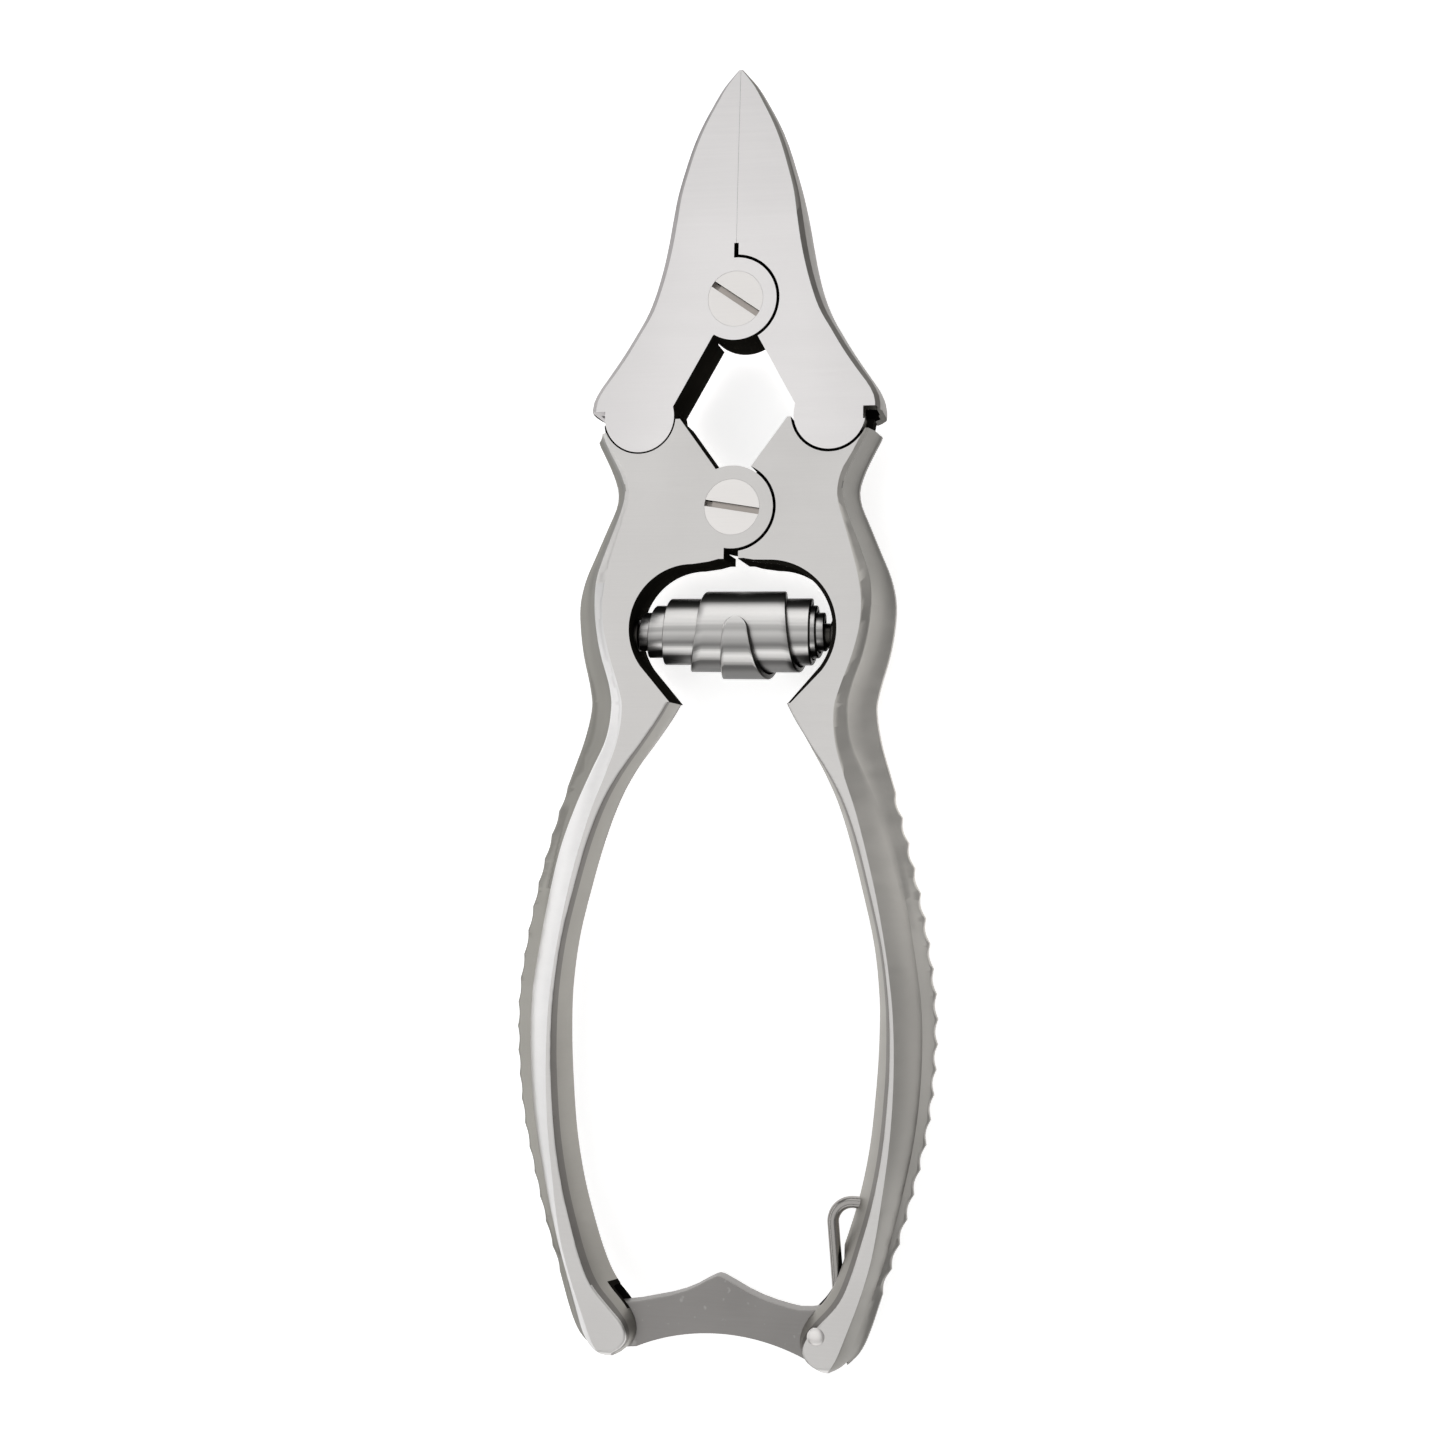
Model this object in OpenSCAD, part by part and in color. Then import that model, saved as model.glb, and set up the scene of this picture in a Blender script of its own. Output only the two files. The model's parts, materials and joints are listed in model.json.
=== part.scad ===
/* [Overall] */
// Thickness of the jaws and handles, front to back
body_t = 7.6; // [6.5:0.1:9]
// Length from the handle pivot to the blade tips
tip_y = 52.6; // [48:0.1:60]
// Length from the handle pivot to the handle ends
end_y = 100.85; // [95:0.05:110]

/* [Pivots] */
// Distance from the handle pivot to the jaw pivot
jaw_pivot_y = 24.8; // [22:0.1:28]
// Sideways distance of each knuckle from the middle
knuckle_x = 11.45; // [10:0.05:13]
// Height of each knuckle above the handle pivot
knuckle_y = 10.95; // [9:0.05:13]
// Radius of the knuckle lobe on each jaw
knuckle_r = 4.25; // [3.5:0.05:5]
// Radius of the overlapping lobes at the two screws
lap_r = 4.92; // [4:0.05:6]
// Gap between a lobe and the part around it
lap_gap = 0.28; // [0.2:0.01:0.5]
// Gap between the two overlapping layers
layer_gap = 0.08; // [0.04:0.01:0.2]

/* [Screws] */
// Radius of the flush screw heads
head_r = 3.3; // [2.8:0.1:3.8]
// Depth of the screw heads
head_h = 1.9; // [1.2:0.1:2.4]
// Radius of the screw shanks
shank_r = 1.8; // [1.4:0.05:2.2]
// Width of the screwdriver slots
slot_w = 0.75; // [0.5:0.05:1]
// Depth of the screwdriver slots
slot_d = 0.9; // [0.5:0.05:1.3]
// Angle of the jaw screw's slot
jaw_slot_angle = -34; // [-90:1:90]
// Angle of the handle screw's slot
handle_slot_angle = -9; // [-90:1:90]

/* [Knuckle tongue] */
// Thickness of the tongue that locks each knuckle
tongue_t = 2.4; // [1.8:0.1:3]
// Inner radius of the tongue
tongue_r = 2.75; // [2.4:0.05:3.2]
// Reach of the tongue's nub above the outer horn
nub_r = 5.0; // [4.6:0.05:5.4]

/* [Spring] */
// Height of the barrel spring's axis below the handle pivot
spring_y = 14.93; // [13:0.05:16]
// Radius of the outermost band
spring_r = 5.37; // [4.5:0.05:6]
// Half length of the barrel spring
spring_l = 11.2; // [10:0.1:12]
// Radius of the spring's inner hollow
spring_bore = 2.1; // [1.8:0.05:2.4]
// Radius of the two seat pins
seat_r = 1.9; // [1.5:0.05:2.1]

/* [Latch] */
// Thickness of the latch bar
latch_t = 2.2; // [1.6:0.1:2.8]
// Width of the slots that take the latch bar
latch_slot_t = 2.4; // [1.8:0.1:3]
// Sideways position of the latch pin
latch_x = 11.6; // [10:0.1:13]
// Distance of the latch pin below the handle pivot
latch_y = 95.85; // [94:0.05:97]
// Radius of the latch pin
latch_pin_r = 0.95; // [0.7:0.05:1.2]
// Radius of the detent wire
wire_r = 0.7; // [0.5:0.05:0.9]

/* [Grip] */
// Number of scallops along each grip
scallops = 20; // [10:1:30]
// Spacing of the scallops
scallop_pitch = 2.9; // [2:0.1:4]
// Depth of the scallops
scallop_d = 0.42; // [0.2:0.02:0.8]
// Sideways lean of the grips towards the left handle
grip_lean = 0.6; // [0:0.1:1]

/* [Hidden] */
$fn = 96;
ht = body_t / 2;
mid_y = 23.8;
steel = [0.74, 0.73, 0.71];
bright = [0.82, 0.81, 0.80];
dark = [0.55, 0.54, 0.52];
scallop_top = -33.4;

// Outer side of a handle: y, silhouette, crisp line, height of the crisp line, crease of the flat
OUTER = [
    [10.6, 17.7, 15.8, 3.8, 15.5],
    [8.7, 17.39, 15.65, 3.8, 15.35],
    [6.3, 16.22, 14.6, 3.8, 14.3],
    [4.4, 15.35, 13.65, 3.8, 13.35],
    [2.4, 14.76, 13.05, 3.8, 12.75],
    [0.6, 14.95, 12.95, 3.8, 12.65],
    [-1.8, 15.95, 13.6, 3.8, 13.3],
    [-5.0, 17.3, 14.75, 3.8, 14.45],
    [-8.2, 18.63, 15.75, 3.8, 15.45],
    [-11.2, 19.27, 16.2, 3.8, 15.9],
    [-14.3, 19.15, 16.0, 3.8, 15.6],
    [-17.6, 18.62, 15.1, 3.8, 14.6],
    [-21.0, 17.75, 14.1, 3.8, 13.5],
    [-23.6, 17.36, 13.75, 3.7, 13.0],
    [-27.5, 18.05, 15.0, 3.3, 12.9],
    [-31.4, 19.3, 16.9, 2.6, 13.9],
    [-35.6, 20.7, 18.8, 1.8, 15.3],
    [-40.2, 22.0, 20.4, 1.1, 16.9],
    [-45.0, 23.22, 21.65, 0.8, 18.3],
    [-51.2, 24.44, 22.9, 0.65, 19.8],
    [-58.3, 25.36, 23.85, 0.6, 20.6],
    [-65.4, 25.29, 23.8, 0.6, 20.5],
    [-72.5, 24.52, 23.05, 0.6, 20.0],
    [-79.5, 22.99, 21.6, 0.65, 18.9],
    [-86.5, 21.1, 19.7, 0.8, 17.2],
    [-91.2, 19.55, 18.1, 1.2, 15.9],
    [-95.9, 17.9, 16.3, 2.0, 14.8],
    [-98.2, 16.8, 15.2, 2.5, 13.9],
    [-99.6, 15.6, 14.3, 2.7, 13.4],
    [-100.4, 14.7, 13.6, 1.6, 13.2],
    [-100.85, 13.6, 13.3, 0.5, 13.1]];

// Inner side of a grip: y, front edge, bulge at mid thickness, height of the front edge
INNER = [
    [-23.1, 7.1, 0.05, 3.8],
    [-24.9, 8.1, 0.2, 3.8],
    [-28.0, 10.15, 0.55, 3.8],
    [-31.4, 12.5, 0.9, 3.8],
    [-34.8, 14.35, 1.1, 3.8],
    [-39.2, 16.05, 1.25, 3.8],
    [-45.0, 17.7, 1.3, 3.8],
    [-51.3, 19.15, 1.3, 3.8],
    [-57.3, 19.85, 1.3, 3.8],
    [-62.5, 19.9, 1.3, 3.8],
    [-67.6, 19.65, 1.3, 3.8],
    [-74.5, 19.0, 1.3, 3.8],
    [-80.3, 17.85, 1.25, 3.8],
    [-85.3, 16.35, 1.2, 3.8],
    [-90.0, 14.5, 1.0, 3.8],
    [-92.2, 13.2, 0.9, 3.8],
    [-94.4, 11.3, 0.7, 3.8],
    [-96.2, 10.4, 0.55, 3.8],
    [-97.9, 10.45, 0.6, 3.8],
    [-99.0, 11.4, 1.0, 3.8],
    [-99.7, 12.5, 1.5, 3.6],
    [-100.45, 12.75, 1.0, 1.9],
    [-100.85, 12.9, 0.5, 0.6]];

// One jaw: y, silhouette, front edge of the side bevel, front height, back height
JAW = [
    [52.6, 0.28, 0.12, 3.0, 2.0],
    [51.75, 1.05, 0.78, 3.05, 1.9],
    [50.4, 2.2, 1.85, 3.12, 1.7],
    [48.0, 3.72, 3.3, 3.25, 1.35],
    [45.75, 4.93, 4.45, 3.38, 1.0],
    [43.35, 5.95, 5.4, 3.5, 0.65],
    [40.4, 6.92, 6.3, 3.62, 0.1],
    [37.55, 7.68, 7.0, 3.72, -1.2],
    [34.6, 8.25, 7.5, 3.78, -2.8],
    [31.75, 8.72, 7.95, 3.8, -3.6],
    [28.7, 9.3, 8.6, 3.8, -3.8],
    [25.7, 10.05, 9.4, 3.8, -3.8],
    [23.2, 11.05, 10.45, 3.8, -3.8],
    [20.8, 12.35, 11.8, 3.8, -3.8],
    [18.4, 13.8, 13.3, 3.8, -3.8],
    [16.0, 15.2, 14.7, 3.8, -3.8],
    [14.1, 16.25, 15.6, 3.8, -3.8],
    [12.6, 16.95, 15.95, 3.8, -3.8],
    [10.4, 17.2, 15.9, 3.8, -3.8]];

// Smooth reading of a table at height y
function seg(tab, y, k = 0) = (k >= len(tab) - 2 || y >= tab[k + 1][0]) ? k : seg(tab, y, k + 1);
function lean(tab, k) = k == 0 ? (tab[1] - tab[0]) / (tab[1][0] - tab[0][0]) :
    k == len(tab) - 1 ? (tab[k] - tab[k - 1]) / (tab[k][0] - tab[k - 1][0]) :
    (tab[k + 1] - tab[k - 1]) / (tab[k + 1][0] - tab[k - 1][0]);
function blend(a, b, ma, mb, h, t) = a * (2 * t * t * t - 3 * t * t + 1) + ma * h * (t * t * t - 2 * t * t + t)
    + b * (3 * t * t - 2 * t * t * t) + mb * h * (t * t * t - t * t);
function at(tab, y) = let (k = seg(tab, y), h = tab[k + 1][0] - tab[k][0])
    blend(tab[k], tab[k + 1], lean(tab, k), lean(tab, k + 1), h, (y - tab[k][0]) / h);

// Sideways lean of both grips towards the left handle at height y
function ease(t) = let (u = min(max(t, 0), 1)) u * u * (3 - 2 * u);
function lean_x(y) = grip_lean * ease((-12 - y) / 32) * (1 - 0.65 * ease((-86 - y) / 12));

function in_grip(y) = y < scallop_top && y > scallop_top - scallops * scallop_pitch;
function scallop(y) = in_grip(y) ? scallop_d * pow(abs(sin(180 * (scallop_top - y) / scallop_pitch)), 0.7) : 0;

// Cross-section of a handle, one ring of points seen along the handle
function handle_ring(y) = let (o = at(OUTER, y), g = y < -23.05, n = g ? at(INNER, y) : [y, 0, 0, 3.8],
    s = o[1] - scallop(y), hf = min(n[3], 3.8) / 3.8 * ht, hb = min(o[3], n[3] - 0.02) / 3.8 * ht,
    xf = max(min(o[4], o[2] - 0.12), n[1] + 0.1), hs = min(0.42, hb - 0.04))
    [[n[1] - n[2] - 0.02, y, 0], [n[1], y, hf], [xf, y, hf], [max(o[2], xf + 0.05), y, hb - 0.01], [s, y, hs],
     [s, y, -hs], [max(o[2], xf + 0.05), y, 0.01 - hb], [xf, y, -hf], [n[1], y, -hf]];

// Cross-section of a jaw
function jaw_ring(y) = let (j = at(JAW, y), m = (j[3] + j[4]) / 2 * ht / 3.8)
    [[0.01, y, j[4] * ht / 3.8], [0.01, y, j[3] * ht / 3.8], [j[2], y, j[3] * ht / 3.8], [j[1], y, m],
     [j[2], y, j[4] * ht / 3.8]];

// Solid through a list of rings of n points each
module loft(rings, n, lean = 0) {
    m = len(rings);
    pts = [for (r = rings) for (p = r) p - [lean * lean_x(p[1]), 0, 0]];
    sides = [for (k = [0:m - 2]) for (i = [0:n - 1]) let (a = k * n + i, b = k * n + (i + 1) % n)
        each [[a, b, b + n], [a, b + n, a + n]]];
    caps = [for (i = [1:n - 2]) each [[0, i + 1, i], [(m - 1) * n, (m - 1) * n + i, (m - 1) * n + i + 1]]];
    polyhedron(points = pts, faces = concat(sides, caps), convexity = 10);
}

// Ring heights: plain steps above and below the scallops, four steps to each scallop
grip_end = scallop_top - scallops * scallop_pitch;
HANDLE_Y = concat([for (k = [0:19]) 10.6 - k * 1.7], [-23.04, -23.1, -24.0, -25.5, -27.2, -29, -31, -32.4],
    [for (k = [0:scallops * 4]) scallop_top - k * scallop_pitch / 4],
    [-92.4, -93.4, -94.4, -95.6, -96.8, -98, -98.9, -99.4, -99.9, -100.4, -100.85]);
JAW_Y = concat([52.6, 52.1, 51.4], [for (k = [0:20]) 50.4 - k * 2.0]);

module sector(r, from, to) {
    polygon([[0, 0], for (k = [0:12]) let (a = from + (to - from) * k / 12) [r * cos(a), r * sin(a)]]);
}

module slab(z0, z1) {
    translate([0, 0, z0])
        linear_extrude(height = z1 - z0)
            children();
}

module at_knuckle() {
    translate([knuckle_x, knuckle_y])
        children();
}

// Half of the round cavity for the spring, and the narrow gap above it
module cavity() {
    translate([4.6, -14.35])
        circle(r = 7.62);
    polygon([[-1, -6.15], [1.5, -6.15], [2.6, -6.45], [5.0, -6.74], [10.75, -18.85], [7.1, -23.1], [-1, -23.1]]);
    translate([-1, -7])
        square([1.87, 5]);
}

// Everything above the handle: the inner slope and the cut above both horns
module above_handle() {
    polygon([[-1, 0.4], [6.62, 10.8], [6.62, 16], [-1, 16]]);
    polygon([[6.6, 10.86], [11.4, 10.86], [15.5, 9.1], [17.6, 9.5], [21, 10.2], [21, 16], [6.6, 16]]);
}

// The part of the tongue that stays in the knuckle socket, with its nub
module tongue_plan() {
    difference() {
        union() {
            intersection() {
                circle(r = knuckle_r + 0.3);
                sector(9, 184, 337);
            }
            intersection() {
                circle(r = nub_r);
                sector(9, 320, 346);
            }
        }
        circle(r = tongue_r);
    }
}

// Slot for the latch bar in a handle end, open inward and downward; a groove above it for the wire
module latch_slot(outer_x, wire) {
    polygon([[4, -91.6], [12.9, -91.6], [outer_x, -92.9], [outer_x, -106], [4, -106]]);
    if (wire)
        polygon([[8, -84.4], [14.1, -84.4], [15.0, -92.6], [15.0, -94], [8, -94]]);
}

// Right-hand handle body without its screw lobe; own = +1 when its lobe is in the front layer
module handle_blank(own, outer_x, wire) {
    difference() {
        loft([for (y = HANDLE_Y) handle_ring(y)], 9, -own);
        slab(-ht - 1, ht + 1)
            cavity();
        slab(-ht - 1, ht + 1)
            above_handle();
        slab(tongue_t / 2, ht + 1)
            at_knuckle() circle(r = knuckle_r + 0.06);
        slab(-ht - 1, -tongue_t / 2)
            at_knuckle() circle(r = knuckle_r + 0.06);
        slab(-ht - 1, ht + 1)
            at_knuckle() circle(r = tongue_r);
        slab(own > 0 ? -ht - 1 : -layer_gap / 2, own > 0 ? layer_gap / 2 : ht + 1)
            circle(r = lap_r + lap_gap);
        slab(-latch_slot_t / 2, latch_slot_t / 2)
            latch_slot(outer_x, wire);
        translate([seat_hole_x, -spring_y, 0])
            rotate([0, 90, 0])
                cylinder(r = seat_r - 0.29, h = 3.2);
    }
    slab(-tongue_t / 2, tongue_t / 2)
        at_knuckle() tongue_plan();
}
seat_hole_x = 11.0;

module lap_lobe(own) {
    slab(own > 0 ? layer_gap / 2 : -ht, own > 0 ? ht : -layer_gap / 2)
        circle(r = lap_r);
}

// Clearance hole and counterbore for a screw head in a front lobe
module screw_seat() {
    translate([0, 0, -ht - 1])
        cylinder(r = shank_r + 0.06, h = body_t + 2);
    translate([0, 0, ht - head_h - 0.04])
        cylinder(r = head_r + 0.05, h = head_h + 1);
}

module threaded_hole() {
    translate([0, 0, -ht - 1])
        cylinder(r = shank_r + 0.01, h = body_t + 2);
}

module screw(angle) {
    difference() {
        union() {
            translate([0, 0, 0.05 - ht])
                cylinder(r = shank_r, h = body_t - 0.1);
            translate([0, 0, ht - head_h])
                cylinder(r = head_r, h = head_h);
        }
        rotate([0, 0, angle])
            translate([-head_r - 1, -slot_w / 2, ht - slot_d])
                cube([2 * head_r + 2, slot_w, slot_d + 1]);
    }
}

// Right-hand jaw body without its screw lobe
module jaw_blank(own) {
    difference() {
        union() {
            intersection() {
                loft([for (y = JAW_Y) jaw_ring(y)], 5);
                slab(-ht - 1, ht + 1)
                    polygon([[0, 60], [25, 60], [25, 12.6], [17.4, 11.66], [15.4, 11.66], [11.4, 10.9],
                        [7.34, 12.1], [2.7, 20.4], [0, 24]]);
            }
            slab(-ht, ht)
                at_knuckle() circle(r = knuckle_r);
        }
        slab(own > 0 ? -ht - 1 : -layer_gap / 2, own > 0 ? layer_gap / 2 : ht + 1)
            translate([0, jaw_pivot_y]) circle(r = lap_r + lap_gap);
        slab(-tongue_t / 2 - 0.05, tongue_t / 2 + 0.05)
            at_knuckle() groove_plan();
        slab(-ht - 1, ht + 1)
            translate([-0.27, 25]) square([0.54, 6.46]);
        translate([0, 60, 0])
            rotate([90, 0, 0])
                linear_extrude(height = 27.6)
                    polygon([[-0.5, -ht - 0.5], [1.9, -ht - 0.5], [0.01, 0.5 * ht], [-0.5, 0.5 * ht]]);
    }
}

// Groove in a jaw's lobe that takes the tongue, deeper into the shoulder
module groove_plan() {
    difference() {
        union() {
            intersection() {
                circle(r = nub_r + 0.12);
                sector(12, 172, 372);
            }
            intersection() {
                circle(r = nub_r + 0.5);
                sector(12, 330, 384);
            }
        }
        circle(r = tongue_r - 0.05);
    }
}

module jaw_right() {
    color(steel)
        translate([0, mid_y, 0])
            difference() {
                union() {
                    jaw_blank(-1);
                    translate([0, jaw_pivot_y, 0])
                        lap_lobe(-1);
                }
                translate([0, jaw_pivot_y, 0])
                    threaded_hole();
            }
}

module jaw_left() {
    color(steel)
        translate([0, mid_y, 0])
            difference() {
                union() {
                    mirror([1, 0, 0])
                        jaw_blank(1);
                    translate([0, jaw_pivot_y, 0])
                        lap_lobe(1);
                }
                translate([0, jaw_pivot_y, 0])
                    screw_seat();
            }
}

module handle_right() {
    color(steel)
        translate([0, mid_y, 0])
            difference() {
                union() {
                    handle_blank(-1, 15.0, true);
                    lap_lobe(-1);
                }
                threaded_hole();
                translate([latch_x, -latch_y, -ht - 1])
                    cylinder(r = latch_pin_r + 0.01, h = body_t + 2);
                translate([13, -81.1, 0])
                    rotate([0, 90, 0])
                        cylinder(r = wire_r + 0.01, h = 5.6);
            }
}

module handle_left() {
    color(steel)
        translate([0, mid_y, 0])
            difference() {
                union() {
                    mirror([1, 0, 0])
                        handle_blank(1, 14.6, false);
                    lap_lobe(1);
                }
                screw_seat();
            }
}

module jaw_screw() {
    color(bright)
        translate([0, mid_y + jaw_pivot_y, 0])
            screw(jaw_slot_angle);
}

module handle_screw() {
    color(bright)
        translate([0, mid_y, 0])
            screw(handle_slot_angle);
}

// Stepped barrel of wound bands, hollow along its axis
module barrel_spring() {
    r2 = spring_r - 0.8;
    r3 = spring_r - 1.55;
    r4 = spring_r - 2.4;
    color(bright)
        translate([0, mid_y - spring_y, 0])
            rotate([0, 90, 0])
                rotate_extrude()
                    polygon([[spring_bore, -spring_l], [r4 - 0.35, -spring_l], [r4 - 0.35, -10.6], [r4, -10.6],
                        [r4, -9.8], [r3, -9.8], [r3, -8], [r2, -8], [r2, -3.6], [spring_r, -3.6],
                        [spring_r, 6.2], [r2, 6.2], [r2, 9.5], [r3, 9.5], [r3, 9.9], [r4, 9.9],
                        [r4, spring_l], [spring_bore, spring_l]]);
}

// Pin with a collar, pressed into the handle and holding the spring's end
module seat(side) {
    translate([0, mid_y - spring_y, 0])
        mirror([side > 0 ? 0 : 1, 0, 0])
            rotate([0, 90, 0]) {
                translate([0, 0, 7.5])
                    cylinder(r = seat_r, h = spring_l + 0.02 - 7.5);
                translate([0, 0, 11.21])
                    cylinder(r = seat_r - 0.3, h = 2.9);
            }
}

module spring_seat_left() {
    color(dark)
        seat(-1);
}

module spring_seat_right() {
    color(dark)
        seat(1);
}

// Latch bar: a peak in the middle, arched below, a round hub and a round free end
module latch_bar() {
    color(dark)
        translate([0, mid_y, -latch_t / 2])
            difference() {
                union() {
                    linear_extrude(height = latch_t)
                        polygon([[-12.1, -95.1], [-10.6, -94.1], [-0.6, -90.5], [9.4, -93.9], [11.7, -94.1],
                            [11.9, -97.8], [9.9, -99.2], [-11.2, -99.3]]);
                    translate([latch_x, -latch_y, 0])
                        cylinder(r = 2.42, h = latch_t);
                    translate([-11.5, -97.0, 0])
                        cylinder(r = 2.63, h = latch_t);
                }
                translate([-0.05, -121.6, -1])
                    cylinder(r = 24.4, h = latch_t + 2);
                translate([-10.7, -74.1, -1])
                    cylinder(r = 19.2, h = latch_t + 2);
                translate([8.2, -76.3, -1])
                    cylinder(r = 16.55, h = latch_t + 2);
                translate([latch_x, -latch_y, -1])
                    cylinder(r = latch_pin_r + 0.06, h = latch_t + 2);
            }
}

module latch_pin() {
    color(bright)
        translate([latch_x, mid_y - latch_y, 0]) {
            translate([0, 0, 0.05 - ht])
                cylinder(r = latch_pin_r, h = body_t - 0.1);
            intersection() {
                translate([0, 0, ht - 2.3])
                    sphere(r = 2.5);
                translate([0, 0, ht - 0.1])
                    cylinder(r = latch_pin_r, h = 1);
            }
        }
}

// Straight run of wire from a point, in a direction given in degrees
module wire_run(from, direction, length) {
    translate([from[0], from[1], 0])
        rotate([0, 0, direction])
            rotate([0, 90, 0])
                translate([0, 0, -0.12])
                    cylinder(r = wire_r - 0.02, h = length + 0.12);
}

// Bent wire that holds the latch bar in its two positions
module latch_spring() {
    bend = [15.2, -83.4];
    bend_r = 2.3;
    turn = 185.4;
    color(dark)
        translate([0, mid_y, 0]) {
            wire_run([bend[0], bend[1] + bend_r], 0, 3.2);
            translate([bend[0], bend[1], 0])
                rotate([0, 0, 90])
                    rotate_extrude(angle = turn - 90)
                        translate([bend_r, 0])
                            circle(r = wire_r);
            wire_run([bend[0] + bend_r * cos(turn), bend[1] + bend_r * sin(turn)], turn + 90, 9);
        }
}

jaw_left();
jaw_right();
jaw_screw();
handle_left();
handle_right();
handle_screw();
barrel_spring();
spring_seat_left();
spring_seat_right();
latch_bar();
latch_pin();
latch_spring();
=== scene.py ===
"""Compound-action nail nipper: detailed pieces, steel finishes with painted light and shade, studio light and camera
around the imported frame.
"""
import json
import math

import bmesh
import bpy
from mathutils import Matrix, Vector


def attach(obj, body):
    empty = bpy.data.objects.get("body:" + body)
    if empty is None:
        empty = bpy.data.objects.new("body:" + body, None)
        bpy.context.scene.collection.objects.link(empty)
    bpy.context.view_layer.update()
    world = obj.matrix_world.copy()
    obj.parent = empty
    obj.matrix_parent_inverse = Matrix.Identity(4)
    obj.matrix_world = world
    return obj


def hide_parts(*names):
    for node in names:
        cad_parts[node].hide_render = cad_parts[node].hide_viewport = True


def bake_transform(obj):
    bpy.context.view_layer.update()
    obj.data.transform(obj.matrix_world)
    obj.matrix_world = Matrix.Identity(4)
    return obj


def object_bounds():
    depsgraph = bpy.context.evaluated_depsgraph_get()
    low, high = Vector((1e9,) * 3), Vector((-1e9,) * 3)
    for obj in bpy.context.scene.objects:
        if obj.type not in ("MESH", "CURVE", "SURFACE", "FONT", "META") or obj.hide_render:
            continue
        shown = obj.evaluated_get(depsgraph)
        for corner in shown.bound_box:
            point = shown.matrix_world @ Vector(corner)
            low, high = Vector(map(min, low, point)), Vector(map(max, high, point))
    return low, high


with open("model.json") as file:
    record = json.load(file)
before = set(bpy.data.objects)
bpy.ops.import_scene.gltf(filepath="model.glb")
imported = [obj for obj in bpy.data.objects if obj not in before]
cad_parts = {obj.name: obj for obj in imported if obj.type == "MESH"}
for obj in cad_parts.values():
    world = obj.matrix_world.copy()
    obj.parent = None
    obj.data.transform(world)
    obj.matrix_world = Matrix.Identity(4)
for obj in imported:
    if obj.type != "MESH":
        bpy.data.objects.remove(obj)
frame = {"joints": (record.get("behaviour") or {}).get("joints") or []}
CAD_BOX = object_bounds()

# ---------------------------------------------------------------- frame values
MM = 0.001
JOINTS = {j["name"]: j for j in frame["joints"]}


def joint_xy(name):
    """A hinge's place in the row frame, in millimetres."""
    x, y, _ = JOINTS[name]["pos_m"]
    return x / MM, y / MM


PIVOT_Y = joint_xy("handle_pivot")[1]            # row y of the handle pivot
JAW_PIVOT = joint_xy("jaw_pivot")[1] - PIVOT_Y   # jaw pivot above the handle pivot
KNUCKLE = (-joint_xy("knuckle_left")[0], joint_xy("knuckle_left")[1] - PIVOT_Y)      # centre of the right knuckle
LATCH = (joint_xy("latch_swing")[0], joint_xy("latch_swing")[1] - PIVOT_Y)
HT = 3.8                                         # half thickness of jaws and handles
FAR = HT + 1                                     # reach of a cut that goes right through
KNUCKLE_R = 4.25                                 # jaw lobe at a knuckle
LAP_R = 4.92                                     # round lobe of a lap joint
LAP_GAP = 0.36                                   # room around that lobe
LAYER = 0.04                                     # half the gap between the layers
TONGUE = 1.2                                     # half thickness of the knuckle tongue
TONGUE_R = 2.75                                  # hollow in the middle of the tongue
NUB_R = 5.0                                      # end of the tongue, which stands out past the lobe
HEAD_R = 3.3                                     # screw head
HEAD_H = 1.9
SHANK_R = 1.8
LATCH_HT = 1.1                                   # half thickness of the latch bar
PIN_HOLE_R = 1.0                                 # hole of the latch pin
SPRING_Y = -14.93                                # height of the two spring seats
SPUR_Y = -23.1                                   # tip of the spur, where the spring cavity ends and the grip begins
GRIP_LEAN = 0.6                                  # lean of both grips towards the left handle
LEAN_TOP, LEAN_RUN = -12, 32                     # where the lean begins, and the length it grows over
FADE, FADE_TOP, FADE_RUN = 0.65, -86, 12         # how much of it an inner edge loses near the end of the grip


# ---------------------------------------------------------------- mesh helpers
def new_object(name, verts, faces):
    """A mesh object from millimetre points measured from the handle pivot."""
    mesh = bpy.data.meshes.new(name)
    mesh.from_pydata([(x * MM, (y + PIVOT_Y) * MM, z * MM) for x, y, z in verts], [], faces)
    mesh.update()
    obj = bpy.data.objects.new(name, mesh)
    bpy.context.scene.collection.objects.link(obj)
    return obj


def fix_normals(obj):
    bm = bmesh.new()
    bm.from_mesh(obj.data)
    bmesh.ops.recalc_face_normals(bm, faces=bm.faces)
    bm.to_mesh(obj.data)
    bm.free()


def loft(name, rings):
    """A closed solid through rings that have the same number of points."""
    n, m = len(rings[0]), len(rings)
    verts = [p for ring in rings for p in ring]
    faces = [(k * n + i, k * n + (i + 1) % n, (k + 1) * n + (i + 1) % n, (k + 1) * n + i)
             for k in range(m - 1) for i in range(n)]
    faces += [tuple(range(n))[::-1], tuple(range((m - 1) * n, m * n))]
    obj = new_object(name, verts, faces)
    fix_normals(obj)
    return obj


def prism(outline, z0, z1, name="tool"):
    """A closed solid with one outline from height z0 to height z1."""
    n = len(outline)
    verts = [(x, y, z0) for x, y in outline] + [(x, y, z1) for x, y in outline]
    faces = [tuple(range(n))[::-1], tuple(range(n, 2 * n))]
    faces += [(i, (i + 1) % n, n + (i + 1) % n, n + i) for i in range(n)]
    obj = new_object(name, verts, faces)
    fix_normals(obj)
    return obj


def arc(cx, cy, r, start, end, steps):
    """Points on an arc, with its angles in degrees."""
    return [(cx + r * math.cos(math.radians(start + (end - start) * k / steps)),
             cy + r * math.sin(math.radians(start + (end - start) * k / steps))) for k in range(steps + 1)]


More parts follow.
